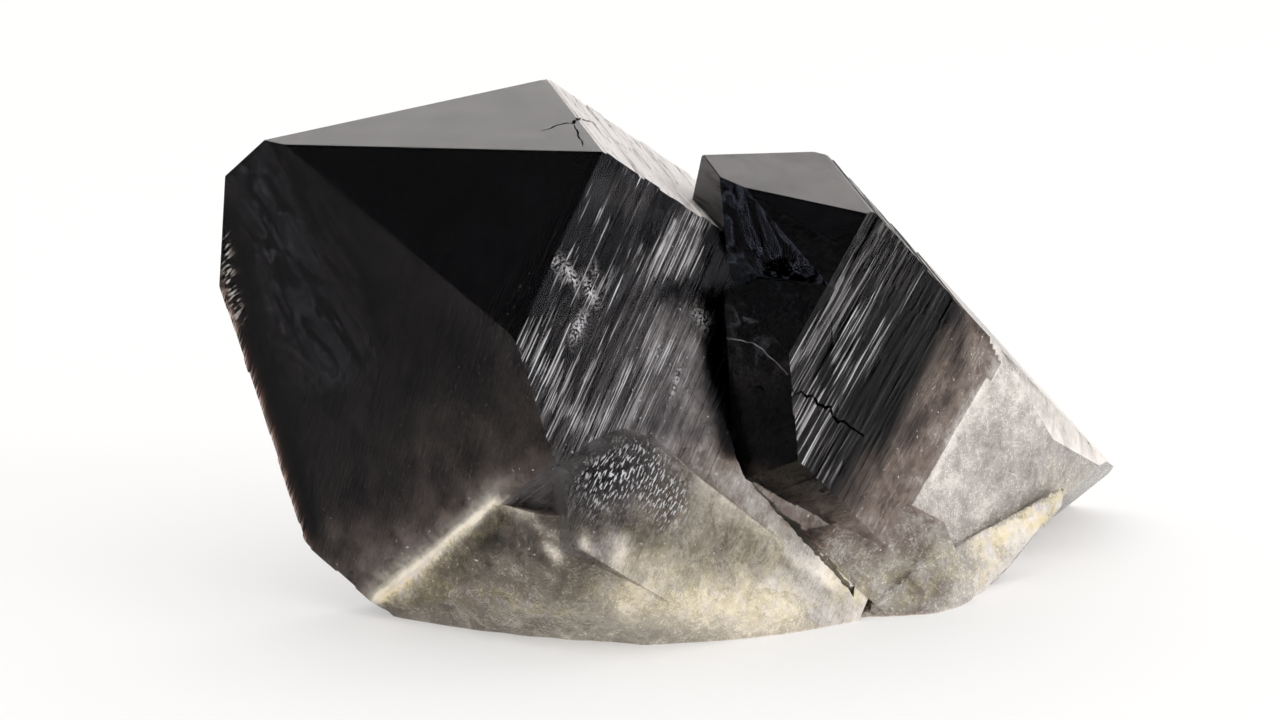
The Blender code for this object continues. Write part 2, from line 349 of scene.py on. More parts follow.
# The broken feet: corners of the outline in front, the belly, the rim on the floor and the hidden back.
frontFoot = {
    "corners": (
        (-27.4, -39.0, 22.1), (-16.7, -45.1, 21.4), (-11.8, -45.7, 15.9), (-3.8, -44.1, 10.1), (2.9, -39.5, 7.6),
        (12.0, -33.0, 4.6), (28.0, -23.5, 1.9), (-17.8, -43.4, 8.5), (-7.5, -42.7, 5.0), (2.9, -39.4, 3.7),
        (-31.5, -34.1, 9.0), (-23.7, -40.8, 13.9), (-46.0, -23.9, 2.7), (-42.9, -21.5, -2.0), (-37.1, -25.0, -2.0),
        (-23.5, -31.1, -2.0), (-12.0, -33.9, -2.0), (-4.5, -35.3, -2.0), (3.3, -34.5, -2.0), (15.4, -31.1, -2.0),
        (26.0, -25.9, -2.0), (-39.3, -3.8, 3.9), (-12.4, 6.0, -2.0), (29.5, 6.0, -2.0), (-12.3, -5.4, 17.3),
    ),
    "middle": (-9.0, -24.0, 5.0), "rings": 110, "columns": 300, "depth": 0.9, "grain": 5.0, "seed": 21,
}
rightFoot = {
    "corners": (
        (45.4, -7.9, 2.8), (51.1, -2.2, 5.4), (56.8, 3.4, 8.4), (62.4, 9.0, 12.7), (41.0, -20.8, -1.5),
        (47.8, -6.4, -1.5), (50.2, -3.1, 1.5), (53.3, 0.0, 4.3), (56.6, 3.2, 7.2), (62.2, 8.8, 9.3),
        (25.5, -23.4, -1.0), (34.7, -22.3, -1.5), (34.6, -21.7, 6.3), (46.1, 11.6, -2.0), (60.4, 24.9, 6.4),
        (36.3, 10.6, -5.0),
    ),
    "middle": (45.5, -3.5, 2.5), "rings": 70, "columns": 180, "depth": 0.8, "grain": 4.0, "seed": 22,
}


def hullPlanes(corners):
    # outward normal and distance of every face of the corners' convex hull
    build = bmesh.new()
    for corner in corners:
        build.verts.new(corner)
    bmesh.ops.convex_hull(build, input=build.verts)
    middle = np.mean(corners, axis=0)
    build.normal_update()
    normals = np.array([face.normal[:] for face in build.faces])
    places = np.array([face.calc_center_median()[:] for face in build.faces])
    build.free()
    distance = (normals * places).sum(axis=1)
    outward = np.sign(distance - normals @ middle)[:, None]
    return normals * outward, distance * outward[:, 0]


def brokenFoot(name, spec):
    # a closed ball of directions: each point goes out to the nearest hull plane, distance / cos(angle), less
    # depth times (0.6 chips - 0.4 roughness - 0.25)
    normals, distance = hullPlanes(spec["corners"])
    middle = np.array(spec["middle"])
    polar = np.linspace(0.0, math.pi, spec["rings"] + 2)[1:-1]
    around = np.linspace(0.0, 2.0 * math.pi, spec["columns"], endpoint=False)
    p, a = np.meshgrid(polar, around, indexing="ij")
    ray = np.stack([np.sin(p) * np.cos(a), np.sin(p) * np.sin(a), np.cos(p)], axis=-1)
    facing = ray @ normals.T
    room = distance - normals @ middle
    out = np.where(facing > 1e-6, room / np.maximum(facing, 1e-6), 1e9).min(axis=-1)
    points = middle + ray * out[..., None]
    rough = roughNoise(points / spec["grain"], 5, spec["seed"])
    chipped = np.abs(roughNoise(points / (spec["grain"] * 2.4), 3, spec["seed"] + 9))
    points -= ray * (spec["depth"] * (0.6 * chipped - 0.4 * rough - 0.25))[..., None]
    return tubeMesh(name, points)


swell = {"centre": (30.0, -15.0, 10.0), "size": 160.0, "gridFrom": -40.0, "gridTo": 70.0, "gridStep": 2.0}


def swellBlock(name, spec):
    # a block broken off on all its sides, and sliced into a grid fine enough to carry its markings
    middle = Vector(np.array(spec["centre"]) - baseCentre) * mm
    piece = breakOff(cubePiece(name, spec["size"] * mm, Matrix.Translation(middle)), swellSides)
    build = bmesh.new()
    build.from_mesh(piece.data)
    for across in np.eye(3):
        for step in np.arange(spec["gridFrom"], spec["gridTo"], spec["gridStep"]):
            cutAlong(build, Vector(across * step) * mm, across, False)
    build.to_mesh(piece.data)
    build.free()
    return piece


def tag(piece, number):
    # marks every face with the number of what it grew as, so that the joined mesh still knows
    data = piece.data
    numbers = np.full(len(data.polygons), number, np.int32)
    data.attributes.new("source", "INT", "FACE").data.foreach_set("value", numbers)
    return piece


def combine(body, others, operation):
    # joins the others to the body, or cuts them from it, and removes them
    for other in others:
        modifier = body.modifiers.new(other.name, "BOOLEAN")
        modifier.operation = operation
        modifier.solver = "MANIFOLD"
        modifier.object = other
    graph = bpy.context.evaluated_depsgraph_get()
    joined = bpy.data.meshes.new_from_object(body.evaluated_get(graph))
    body.modifiers.clear()
    body.data = joined
    for other in others:
        bpy.data.objects.remove(other, do_unlink=True)


# What a face grew as. The feet and the cut faces have no tag, which reads as 0.
sources = {
    "foot": 0, "left": 1, "right": 2, "lower": 3, "small": 4, "swell": 5, "crack": 6, "whiteCrack": 7, "groove": 8,
}
rightGrown = tag(breakOff(crystalMesh("rightGrown", rightCrystal), rightEnd + rightTop), sources["right"])
lowerGrown = breakOff(breakOff(crystalMesh("lowerGrown", rightLowerHalf), rightEnd, 0.4), stepRoof + stepSide)
rightSide = crystalFrame(rightCrystal)[1]
sideDistance = rightCrystal["sides"][0] + rightSide @ np.array(rightCrystal["centre"])
combine(rightGrown, [tag(lowerGrown, sources["lower"])], "UNION")
combine(rightGrown, [roughCutter("paleCutter", paleBreak, paleFace, rightSide, sideDistance)], "DIFFERENCE")
smallGrown = tag(breakOff(crystalMesh("smallGrown", smallCrystal), smallEnd), sources["small"])
quartz = tag(crystalMesh("smokyQuartz", leftCrystal), sources["left"])
combine(quartz, [rightGrown, smallGrown, tag(swellBlock("swell", swell), sources["swell"]),
                 brokenFoot("frontFootGrown", frontFoot), brokenFoot("rightFootGrown", rightFoot)], "UNION")
underFloor = Matrix.Translation((0.0, 0.0, -0.1)) @ Matrix.Diagonal((0.4, 0.4, 0.2, 1.0))  # its top is the floor
combine(quartz, [cubePiece("floorCutter", 1.0, underFloor)], "DIFFERENCE")
report(f"crystals grown, {len(quartz.data.polygons)} faces")
surface = BVHTree.FromObject(quartz, bpy.context.evaluated_depsgraph_get())


def onCrystal(px, py):
    # where the line of sight through a picture point meets the crystal
    hit = surface.ray_cast(camera.location, sightLine(px, py))[0]
    return None if hit is None else np.array(hit) / mm + baseCentre


crackRules = {"kind": "crack", "jag": 0.35, "step": 0.35, "unevenGrain": 0.7, "jagGrain": 1.0, "above": 0.4}


def crackCutter(name, spec):
    # a thin wedge along a line of picture points: each ring is a triangle with two corners above the face, half a width
    # to each side, and one below it. The width is 0.45 + 0.55 sin(t) of its full width, and uneven by a noise
    hits = [surface.ray_cast(camera.location, sightLine(*point)) for point in spec["line"]]
    spots = np.array([hit[0][:] for hit in hits]) / mm + baseCentre
    outward = np.mean([hit[1][:] for hit in hits], axis=0)
    outward /= np.linalg.norm(outward)
    along = np.append(0.0, np.cumsum(np.linalg.norm(np.diff(spots, axis=0), axis=1)))
    steps = np.linspace(0.0, along[-1], int(along[-1] / spec["step"]) + 3)
    line = np.stack([np.interp(steps, along, spots[:, k]) for k in range(3)], axis=1)
    forward = np.gradient(line, axis=0)
    sideways = np.cross(outward, forward)
    sideways /= np.linalg.norm(sideways, axis=1)[:, None]
    uneven = roughNoise(line / spec["unevenGrain"], 2, 41)
    wide = spec["width"] * (0.45 + 0.55 * np.sin(math.pi * steps / along[-1])) * (1.0 + 0.6 * uneven)
    middle = line + sideways * (spec["jag"] * roughNoise(line / spec["jagGrain"], 3, 47))[:, None]
    top = sideways * (0.5 * wide * (1.0 + spec["above"] / spec["depth"]))[:, None]
    lift = spec["above"] * outward
    rings = np.stack([middle + top + lift, middle - spec["depth"] * outward, middle - top + lift], axis=1)
    return tag(tubeMesh(name, rings), sources[spec["kind"]])


cracks = {
    "top crack": dict(width=0.42, depth=0.7,
     line=((541, 131), (552, 127), (560, 124), (572, 123), (583, 120), (592, 122), (603, 132))),
    "top crack branch": dict(width=0.3, depth=0.4, line=((572, 124), (579, 134), (584, 146))),
    "streak crack": dict(width=0.52, depth=0.6,
     line=((790, 386), (796, 393), (812, 396), (819, 404), (830, 408), (836, 419), (850, 425), (864, 436))),
    "step slit": dict(width=0.5, depth=0.4, line=((754, 385), (759, 387), (764, 391))),
    "step white crack": dict(kind="whiteCrack", jag=0.12, width=0.15, depth=0.3,
     line=((726, 337), (741, 341), (754, 343), (764, 351), (776, 363), (788, 375))),
    "groove": dict(kind="groove", jag=0.2, width=0.9, depth=0.4,
     line=((752, 483), (775, 508), (800, 533), (825, 561), (850, 588), (866, 606))),
}
combine(quartz, [crackCutter(name, {**crackRules, **spec}) for name, spec in cracks.items()], "DIFFERENCE")
report(f"cracks cut, {len(quartz.data.polygons)} faces")

# What the faces carry. Each mark is a line of picture points laid on the crystal, a radius round it, and what it adds.
mesh = quartz.data
places = np.empty(len(mesh.vertices) * 3)
mesh.vertices.foreach_get("co", places)
places = np.clip(places.reshape(-1, 3), np.array(cadBox[0]), np.array(cadBox[1]))  # the visual stays in the solid's box
mesh.vertices.foreach_set("co", places.ravel())
places = places / mm + baseCentre


def lineDistance(points, line):
    # distance to the nearest of the line's segments: clamp the projection on each segment to 0..1
    if len(line) == 1:
        return np.linalg.norm(points - line[0], axis=1)
    nearest = np.full(len(points), 1e9)
    for a, b in zip(line, line[1:]):
        span = b - a
        t = np.clip((points - a) @ span / max(span @ span, 1e-9), 0.0, 1.0)
        nearest = np.minimum(nearest, np.linalg.norm(points - a - t[:, None] * span, axis=1))
    return nearest


smoke = {
    "towardFoot": (0.546, 0.135, -0.826), "start": 46.2,  # the left and small crystals pale in this direction
    # (millimetres along the way, milk): 0 is clear smoke, and 1 is white
    "left": ((-40.0, 0.0), (-22.0, 0.0), (-12.0, 0.05), (0.0, 0.11), (7.0, 0.21), (12.0, 0.29), (17.0, 0.38),
             (23.0, 0.48), (29.0, 0.58), (36.0, 0.66), (47.0, 0.76)),
    "right": ((26.0, 0.0), (36.0, 0.03), (40.0, 0.12), (44.0, 0.26), (48.0, 0.38), (54.0, 0.45), (60.0, 0.52),
              (66.0, 0.64), (72.0, 0.84), (80.0, 0.93)),
    "pale": ((50.0, 0.74), (60.0, 0.80), (72.0, 0.77), (80.0, 0.66), (90.0, 0.62)),
    "wander": (2.4, 1.4),  # how far the zones wander, at a scale of 10 mm and of 3 mm
    "rightStart": (-6.0, -44.0, 44.8),  # the right crystal's way is measured from here, down its long axis
    "footTurns": (22.0, 32.0),  # how far right the feet change from the left crystal's milk to the right one's
    "blackTip": 0.15, "smallEnd": 0.27, "crack": 0.0, "whiteCrack": 0.55, "groove": 0.34,
}
# Where the other marks come in along the way, and how strong they get.
comesAt = {
    "striatedMilk": (-16.0, 0.0, 0.06), "cream": (8.0, 20.0, 0.7), "greyRight": (42.0, 36.0), "greyLeft": (26.0, 12.0),
    "glintRight": (39.0, 33.0, 0.72), "glintLeft": (24.0, 6.0, 0.40), "leftHaze": 0.10, "whiteCrackFlash": 0.7,
}
# The faces that some marks keep to: what each grew as, and its plane (0 to 5 are sides, 6 to 11 tips).
linePlane, chalkPlane, blackPlane, frostAndSheenPlane, veilPlane = 0, 1, 6, 7, 11
markedFaces = {
    "leftDark": ("left", veilPlane), "leftLines": ("left", linePlane), "stepFace": ("lower", veilPlane),
    "rightLines": ("right", linePlane), "veiled": ("right", veilPlane),
}
markings = {
    "cream rim": dict(line=((376, 601), (436, 553), (492, 505)), radius=0.9, milk=0.75, cream=1),
    "cream rim haze": dict(line=((378, 592), (436, 545), (495, 495)), radius=2.4, milk=0.22, cream=0.5, on="leftDark"),
    "corner haze": dict(line=((505, 490), (540, 470)), radius=3, milk=0.08, on="leftDark"),
    "upper veils": dict(line=((262, 190), (285, 240), (300, 300), (330, 350)), radius=9, haze=0.55, on="leftDark"),
    "slate patch": dict(line=((400, 250), (470, 300), (500, 330)), radius=6.5, milk=0.06, haze=0.15, on="leftDark"),
    "brown wisps": dict(line=((440, 440), (500, 420), (535, 400)), radius=5, milk=0.05, stain=0.15, on="leftDark"),
    "dark left edge": dict(line=((228, 230), (262, 400), (300, 520)), radius=3, milk=-0.3, haze=-0.6),
    "rim streaks": dict(line=((497, 503), (528, 514), (566, 519)), radius=0.7, milk=0.45, cream=0.8),
    "ridge streaks": dict(line=((535, 524), (562, 545), (612, 568), (640, 577)), radius=0.7, milk=0.3),
    "brow shade": dict(line=((425, 585), (480, 545), (500, 520)), radius=2.4, milk=-0.06, stain=0.7),
    "golden brow": dict(line=((392, 602), (440, 564), (494, 520)), radius=1.1, milk=0.16, stain=1),
    "belly shade": dict(line=((490, 545), (530, 560), (590, 590)), radius=4, milk=-0.12),
    "white wedge": dict(line=((586, 541), (604, 546), (622, 553)), radius=1.3, milk=0.6),
    "small white patch": dict(line=((548, 548), (556, 556)), radius=1.1, milk=0.5),
    "belly light": dict(line=((500, 560), (540, 575)), radius=4, milk=0.1),
    "white patch low": dict(line=((630, 583), (642, 588)), radius=0.9, milk=0.22),
    "white patch base": dict(line=((622, 606), (634, 610)), radius=0.9, milk=0.16),
    "small crystal veil": dict(line=((566, 474), (591, 453), (615, 438), (640, 436), (654, 444)), radius=1, milk=0.18),
    "small crystal edge": dict(line=((565, 476), (568, 515)), radius=0.45, milk=0.3),
    # painted highlight: a pale line along the small crystal's ridge
    "small crystal ridge highlight": dict(line=((654, 440), (705, 483), (760, 529), (804, 562), (853, 601)),
     radius=0.5, milk=0.22),
    "glint bed": dict(line=((605, 480), (640, 468), (672, 505)), radius=4.6, milk=-0.16, dash=1),
    "olive bed": dict(line=((575, 530), (620, 530), (655, 548)), radius=3.2, milk=-0.04, stain=0.5),
    "olive right": dict(line=((700, 560), (740, 550), (775, 560)), radius=5, stain=0.4, milk=-0.12),
    "olive low": dict(line=((600, 590), (660, 600), (720, 605), (780, 605)), radius=4.2, stain=0.5, milk=0.2),
    # painted shade: these two darken the face beside the groove
    "groove side": dict(line=((764, 484), (790, 508), (815, 526)), radius=2.2, milk=-0.3, on="leftLines"),
    "groove side low": dict(line=((790, 522), (805, 540)), radius=1.6, milk=-0.15),
    "pale swelling": dict(line=((835, 558), (860, 572), (885, 590)), radius=4.5, milk=0.2),
    "ridge strip": dict(line=((705, 490), (760, 538), (835, 597)), radius=3.2, milk=-0.12, on="leftLines"),
    # yellow stain along the seam, with painted light lifting the shade in its crease
    "yellow seam with painted fill light": dict(line=((958, 556), (1000, 531), (1040, 508), (1062, 492)), radius=1.7, milk=0.1, stain=0.6),
    "dusky step": dict(line=((760, 475), (800, 490)), radius=3, milk=0.12),
    "ochre left": dict(line=((390, 604), (440, 590), (500, 600), (560, 612)),
     radius=2.6, stain=0.9, milk=0.08, cream=-0.8),
    "yellow right": dict(line=((1088, 488), (1060, 505), (1032, 522)), radius=2, stain=1, milk=0.22),
    "yellow foot": dict(line=((1008, 543), (992, 560), (980, 580)), radius=2, stain=0.7),
    "brown foot": dict(line=((850, 585), (900, 595), (935, 575)), radius=5, stain=0.7, milk=-0.08),
    # painted shadow: darkens the crevice between the left and right crystals and takes its glints away
    "crevice shadow": dict(line=((718, 236), (716, 300), (720, 380), (732, 445)), radius=2.2, milk=-0.7, glint=-1.5),
    "quiet corner": dict(line=((600, 190), (640, 200)), radius=3.4, glint=-0.3, milk=0.13, on="leftLines"),
    "dark slot": dict(line=((665, 198), (656, 220), (648, 240)), radius=1, milk=-0.4, glint=-1.5, on="leftLines"),
    "second slot": dict(line=((618, 222), (612, 242), (604, 264)), radius=0.8, milk=-0.4, glint=-1.5, on="leftLines"),
    "ledge shadow": dict(line=((668, 290), (692, 288), (716, 292)), radius=1.4, milk=-0.3, glint=-1.2),
    # painted glints: the next three marks add glints along the growth lines
    "silver top": dict(line=((702, 215), (686, 240), (670, 268)), radius=3.8, glint=1, milk=0.16, on="leftLines"),
    "silver mid": dict(line=((625, 200), (600, 290)), radius=3.4, glint=0.35, on="leftLines"),
    "silver low": dict(line=((535, 345), (570, 410), (600, 440)), radius=4.2, glint=0.6, milk=-0.04, on="leftLines"),
    "grey middle": dict(line=((640, 330), (690, 350)), radius=5, milk=0.05, on="leftLines"),
    "quiet top": dict(line=((862, 205), (892, 240)), radius=6.5, glint=-0.9, dash=0.2, on="rightLines"),
    "thin bright lines": dict(line=((655, 350), (640, 395), (625, 430)),
     radius=4, glint=0.5, milk=0.05, on="leftLines"),
    "white chips": dict(line=((550, 254), (562, 268), (575, 279), (598, 298)), radius=0.65, flash=1, on="leftLines"),
    "white flakes": dict(line=((583, 318), (574, 336)), radius=0.8, flash=1, on="leftLines"),
    "chip high": dict(line=((590, 268), (594, 274)), radius=0.6, flash=1, on="leftLines"),
    "pale flakes": dict(line=((696, 312), (704, 326)), radius=0.9, flash=0.7, on="leftLines"),
    "bright line": dict(line=((662, 338), (645, 384), (628, 430)), radius=0.35, flash=0.8, on="leftLines"),
    "second bright line": dict(line=((680, 370), (665, 415)), radius=0.3, flash=0.8, on="leftLines"),
    "black band": dict(line=((925, 262), (918, 320), (900, 370), (876, 420)),
     radius=3.9, milk=-0.45, glint=-0.9, on="rightLines"),
    "dark wisp": dict(line=((950, 305), (962, 335), (956, 372)), radius=1.8, milk=-0.16, on="rightLines"),
    "dark wisp high": dict(line=((978, 325), (1000, 352)), radius=1.3, milk=-0.14, on="rightLines"),
    "dark wisp low": dict(line=((905, 440), (925, 420), (950, 400)), radius=1.6, milk=-0.14, on="rightLines"),
    "flat patch": dict(line=((822, 360), (828, 380)), radius=1.2, glint=-1.5, on="rightLines"),
    "pale vein": dict(line=((998, 368), (972, 402), (950, 440), (936, 474)), radius=0.8, milk=0.16),
    "pale cloud": dict(line=((985, 450), (1000, 462)), radius=3.6, milk=-0.14),
    # painted highlight along the rim of the pale face
    "pale face rim highlight": dict(line=((1012, 372), (1040, 405), (1066, 440), (1062, 465)), radius=0.6, milk=0.1),
    # painted shade just beyond the rim, where the face steps back
    "shade behind the rim": dict(line=((1030, 385), (1062, 418), (1085, 445)), radius=1.6, milk=-0.16),
    "brown dot": dict(line=((1087, 441), (1087, 442)), radius=0.6, milk=-0.4),
    "brown dot low": dict(line=((1110, 473), (1110, 474)), radius=0.5, milk=-0.4),
    # a pale bruise on the edge, with short dashes of painted glint
    "bruised edge with painted sparkles": dict(line=((224, 240), (230, 285), (238, 315)), radius=1, milk=0.12, cream=0.6, dash=0.7),
    "step haze": dict(line=((742, 318), (755, 350)), radius=5, haze=0.75, on="stepFace"),
    "veil ends": dict(line=((735, 292), (770, 296), (810, 300)), radius=2.2, haze=-0.9, on="veiled"),
}
crystals = (leftCrystal, rightCrystal, rightLowerHalf, smallCrystal)


def crystalFaces(points, spec):
    # how far each point is from its crystal's planes, as the largest gap, and which plane that is: 0-5 sides, 6-11 tips
    axis, first, second = crystalFrame(spec)
    local = points - np.array(spec["centre"])
    turn = np.radians(60.0 * np.arange(6))[:, None]
    flat = local @ (np.cos(turn) * first + np.sin(turn) * second).T
    tipGaps = flat * math.sin(tipAngle) + (local @ axis)[:, None] * math.cos(tipAngle) - spec["tips"]
    gaps = np.concatenate([flat - spec["sides"], tipGaps], axis=1)
    return np.abs(gaps.max(axis=1)), gaps.argmax(axis=1)


def perFace(name, kind, width=1):
    # one value, or one row of values, for each face
    values = np.empty(len(mesh.polygons) * width, kind)
    mesh.polygons.foreach_get(name, values)
    return values.reshape(-1, width) if width > 1 else values


middles = perFace("center", np.float64, 3) / mm + baseCentre
source = np.empty(len(mesh.polygons), np.int32)
mesh.attributes["source"].data.foreach_get("value", source)
faceOf = np.full(len(source), -1)
for number, spec in enumerate(crystals):
    mine = np.flatnonzero(source == number + 1)  # the first four sources are the crystals, in this order
    gap, plane = crystalFaces(middles[mine], spec)
    faceOf[mine] = np.where(gap < 0.6, plane, -1)  # further than this from every plane it is a break

# every mark is kept for each corner of each face, so that it can stop sharply at an edge
cornerFace = np.repeat(np.arange(len(source)), perFace("loop_total", np.int32))
cornerPoint = np.empty(len(mesh.loops), np.int32)
mesh.loops.foreach_get("vertex_index", cornerPoint)
corners = places[cornerPoint]
# the two halves of the right crystal share this side
source = np.where((source == sources["lower"]) & (faceOf == linePlane), sources["right"], source)
cornerSource, cornerPlane = source[cornerFace], faceOf[cornerFace]
growth = corners.copy()
for number, spec in enumerate(crystals):
    axis, first, second = crystalFrame(spec)
    turn = np.radians(60.0 * (cornerPlane % 6))[:, None]
    tangent = np.cos(turn) * second - np.sin(turn) * first
    local = corners - np.array(spec["centre"])
    across = (local * tangent).sum(axis=1) * spec["lineStretch"]
    # the third number only sets the faces apart in the noises
    grown = np.stack([local @ axis, across, 7.3 * cornerPlane + 31.7 * number], axis=1)
    mine = (cornerSource == number + 1) & (cornerPlane >= 0)
    growth[mine] = grown[mine]


def grewAs(*names):
    # whether each corner's face grew as one of these
    return np.isin(cornerSource, [sources[name] for name in names])


def onFace(name, plane):
    # the same, on this plane alone
    return grewAs(name) & (cornerPlane == plane)


def comesIn(along, low, high, full=1.0):
    # nothing at low, and the full amount from high on
    return full * smoothStep(low, high, along)


wander = smoke["wander"][0] * roughNoise(places / 10.0, 2, 5)
wander += smoke["wander"][1] * roughNoise(places / 3.0, 2, 6)
alongLeft = corners @ np.array(smoke["towardFoot"]) + smoke["start"] + wander[cornerPoint]
alongRight = (np.array(smoke["rightStart"]) - corners) @ crystalFrame(rightCrystal)[0] + wander[cornerPoint]
isRight = grewAs("right", "lower", "swell").astype(float)
isRight = np.where(grewAs("foot"), comesIn(corners[:, 0], *smoke["footTurns"]), isRight)
onPale = grewAs("foot") & (np.abs(corners @ direction(*paleBreak[:2]) - paleBreak[2]) < 1.5)
onPale = (onPale | (grewAs("right") & (cornerPlane < 0))) & (corners[:, 0] > 35.0)
leftMilk = np.interp(alongLeft, *zip(*smoke["left"]))
rightMilk = np.interp(alongRight, *zip(*smoke["right"]))
milk = (1.0 - isRight) * leftMilk + isRight * rightMilk
milk = np.where(onPale, np.interp(alongRight, *zip(*smoke["pale"])), milk)
onLeftSides = grewAs("left") & (cornerPlane >= 0) & (cornerPlane < 6)
milk = np.where(onLeftSides, milk + comesIn(alongLeft, *comesAt["striatedMilk"]), milk)
milk = np.where(grewAs("left", "right") & (cornerPlane == blackPlane), smoke["blackTip"] * milk, milk)
milk = np.where(grewAs("small") & (cornerPlane < 0), smoke["smallEnd"], milk)
for kind in ("crack", "whiteCrack", "groove"):
    milk = np.where(grewAs(kind), smoke[kind], milk)
fields = {
    "milk": milk, "stain": 0.0 * milk, "dash": 0.0 * milk,
    "flash": np.where(grewAs("whiteCrack"), comesAt["whiteCrackFlash"], 0.0),
    "cream": (1.0 - isRight) * ~onLeftSides * comesIn(alongLeft, *comesAt["cream"]),
    "grey": np.where(onFace("right", linePlane), comesIn(alongRight, *comesAt["greyRight"]),
                     (onLeftSides | grewAs("small")) * comesIn(alongLeft, *comesAt["greyLeft"])),
    "glint": (cornerPlane == linePlane) * grewAs("left", "right") * np.where(
        isRight > 0.5, comesIn(alongRight, *comesAt["glintRight"]), comesIn(alongLeft, *comesAt["glintLeft"])),
    # tip face 1: a rough frost, and a painted sheen of the sky on it
    "frostAndSheen": (grewAs("left", "right") & (cornerPlane == frostAndSheenPlane)).astype(float),
    "haze": np.where(onFace("right", veilPlane), 1.0, comesAt["leftHaze"] * onFace("left", veilPlane)),
    # painted reflection of the bright sky on side 1 of the left crystal
    "chalk": onFace("left", chalkPlane).astype(float),
}
for marking in markings.values():
    line = [spot for spot in (onCrystal(*point) for point in marking["line"]) if spot is not None]
    if line:
        reach = np.exp(-(lineDistance(places, line) / marking["radius"]) ** 2)[cornerPoint]
        if "on" in marking:
            reach *= onFace(*markedFaces[marking["on"]])
        for key in fields:
            fields[key] += marking.get(key, 0.0) * reach


def keep(name, kind, domain, field, values):
    # stores values on the faces or their corners, for the material
    mesh.attributes.new(name, kind, domain).data.foreach_set(field, values.astype(np.float32).ravel())


for key, values in fields.items():
    keep(key, "FLOAT", "CORNER", "value", np.clip(values, 0.0, 1.0))
keep("growth", "FLOAT_VECTOR", "CORNER", "vector", growth)
keep("striated", "FLOAT", "FACE", "value", (faceOf < 6) & (faceOf >= 0) & (source != sources["lower"]))
keep("broken", "FLOAT", "FACE", "value", faceOf < 0)
mesh.polygons.foreach_set("use_smooth", np.ones(len(source), bool))
mesh.set_sharp_from_angle(angle=math.radians(24.0))
mesh.update()
report("markings laid")


# The material. Each helper adds one node and hands back its output.
quartzLook = {
    "ior": 1.55, "specular": 0.15, "tint": (0.09, 0.09, 0.105), "absorb": (0.36, 0.27, 0.22), "density": 3200.0,
    "brown": (0.95, 0.73, 0.62), "milky": (0.95, 0.885, 0.83), "cream": (0.95, 0.85, 0.68), "stain": (0.95, 0.82, 0.52),
    # the next line holds the colour of the painted glints and white chips, and of the frost with its painted sheen and
    # painted sky reflection
    "paintedGlintsAndChips": (0.86, 0.88, 0.93), "grey": (0.88, 0.80, 0.80), "haze": (0.62, 0.68, 0.95), "frostAndSheen": (0.90, 0.84, 0.82),
}
quartzMaterial = bpy.data.materials.new("smokyQuartz")
quartzMaterial.use_nodes = True
nodes, links = quartzMaterial.node_tree.nodes, quartzMaterial.node_tree.links
shader = nodes["Principled BSDF"]
output = nodes["Material Output"]


def put(socket, value):
    # links an output to the socket, or sets its plain value
    if isinstance(value, bpy.types.NodeSocket):
        links.new(value, socket)
    else:
        socket.default_value = value


def calc(operation, a, b=0.0):
    node = nodes.new("ShaderNodeMath")
    node.operation = operation
    put(node.inputs[0], a)
    put(node.inputs[1], b)
    return node.outputs[0]


plus, minus, times = partial(calc, "ADD"), partial(calc, "SUBTRACT"), partial(calc, "MULTIPLY")
most, least = partial(calc, "MAXIMUM"), partial(calc, "MINIMUM")


def ramp(value, low, high, toLow=0.0, toHigh=1.0):
    node = nodes.new("ShaderNodeMapRange")
    node.interpolation_type = "SMOOTHSTEP"
    for socket, item in zip(node.inputs, (value, low, high, toLow, toHigh)):
        put(socket, item)
    return node.outputs[0]


def vector(x, y, z):
    node = nodes.new("ShaderNodeCombineXYZ")
    for socket, value in zip(node.inputs, (x, y, z)):
        put(socket, value)
    return node.outputs[0]


def cloud(where, scale=1.0, detail=2.0, rough=0.5, distortion=0.0):
    node = nodes.new("ShaderNodeTexNoise")
    settings = {"Vector": where, "Scale": scale, "Detail": detail, "Roughness": rough, "Distortion": distortion}
    for name, value in settings.items():
        put(node.inputs[name], value)
    return node.outputs[0]


def blendColor(share, a, b):
    node = nodes.new("ShaderNodeMix")
    node.data_type = "RGBA"
    put(node.inputs[0], share)
    for socket, color in ((node.inputs[6], a), (node.inputs[7], b)):
        put(socket, (*color, 1.0) if isinstance(color, tuple) else color)
    return node.outputs[2]


def attribute(name):
    node = nodes.new("ShaderNodeAttribute")
    node.attribute_name = name
    return node


place = nodes.new("ShaderNodeVectorMath")
place.operation = "SCALE"
links.new(nodes.new("ShaderNodeTexCoord").outputs["Object"], place.inputs[0])
put(place.inputs["Scale"], 1.0 / mm)
where = place.outputs[0]
split = nodes.new("ShaderNodeSeparateXYZ")
links.new(attribute("growth").outputs["Vector"], split.inputs[0])
level, across, cell = split.outputs


def drawnOut(perLevel, perAcross, detail, rough=0.5, distortion=0.0):
    # noise with a scale of its own up the long axis and across it, and another pattern on each face
    where = vector(times(level, perLevel), times(across, perAcross), cell)
    return cloud(where, 1.0, detail, rough, distortion)


marks = {key: attribute(key).outputs["Fac"] for key in (*fields, "striated", "broken")}

# lines across the long axis: noise much finer along it, by level, than across
fineLines = drawnOut(3.6, 0.09, 2.0, 0.5)
wideLines = drawnOut(1.1, 0.05, 2.0)
lineTones = drawnOut(5.0, 0.03, 1.0)
patches = drawnOut(0.25, 0.20, 3.0, 0.6)
shortDashes = drawnOut(3.2, 0.42, 1.0)
chips = cloud(where, 2.3, 2.0, 0.6)
